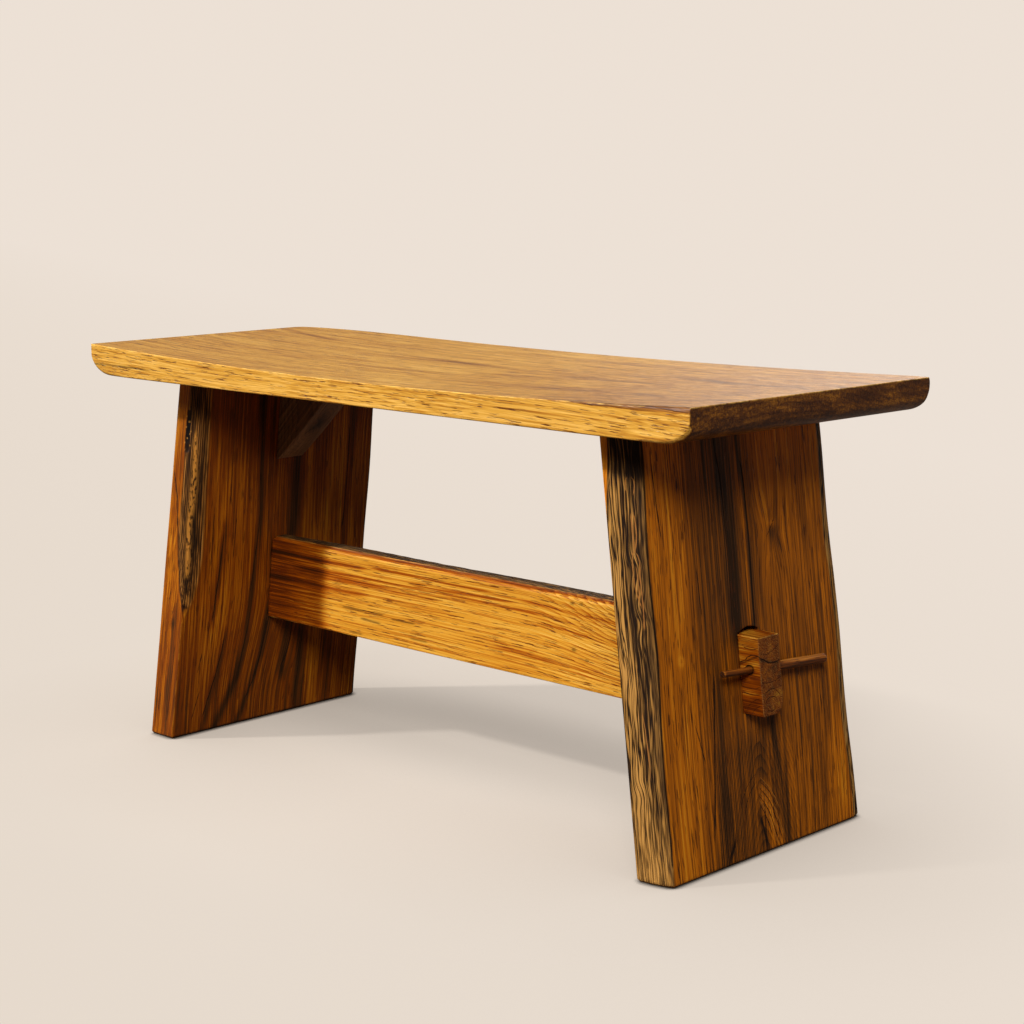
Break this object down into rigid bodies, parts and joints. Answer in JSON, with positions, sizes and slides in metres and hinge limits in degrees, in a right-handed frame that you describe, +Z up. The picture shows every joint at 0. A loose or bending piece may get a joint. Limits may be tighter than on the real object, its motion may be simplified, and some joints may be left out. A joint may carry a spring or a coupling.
{
  "type": "wooden bench",
  "caption": "Low wooden bench with a dished slab seat on splayed live-edge slab legs, tied by a stretcher whose through tenons are held by pull-out pegs.",
  "frame": {"origin": "on the floor, under the middle of the bench's outline", "axes": "+X along the seat to its right end, +Y to the back, +Z up"},
  "size_m": [0.8805, 0.3572, 0.45],
  "materials": {
    "seat_wood": "satin clear coat on pale golden wood",
    "left_leg_wood": "satin oil on dark reddish brown wood",
    "right_leg_wood": "satin oil on brown wood with grey wane",
    "stretcher_wood": "satin clear coat on golden wood",
    "peg_wood": "whittled, oiled reddish brown wood",
    "block_wood": "sawn, oiled grey-brown wood",
    "dowel_beech": "plain beech"
  },
  "bodies": {
    "bench": {"seat": "seat_wood", "leg_left": "left_leg_wood", "leg_right": "right_leg_wood", "stretcher": "stretcher_wood", "block_left": "block_wood", "block_right": "block_wood", "dowel_left_1": "dowel_beech", "dowel_left_2": "dowel_beech", "dowel_left_3": "dowel_beech", "dowel_right_1": "dowel_beech", "dowel_right_2": "dowel_beech", "dowel_right_3": "dowel_beech"},
    "peg_left": {"peg_left": "peg_wood"},
    "peg_right": {"peg_right": "peg_wood"}
  },
  "joints": [
    {"name": "peg_left_slide", "type": "slide", "parent": "bench", "child": "peg_left", "axis": [0, 0.997, -0.0768], "range_m": [0, 0.074]},
    {"name": "peg_right_slide", "type": "slide", "parent": "bench", "child": "peg_right", "axis": [0, 0.997, -0.0768], "range_m": [0, 0.074]}
  ]
}
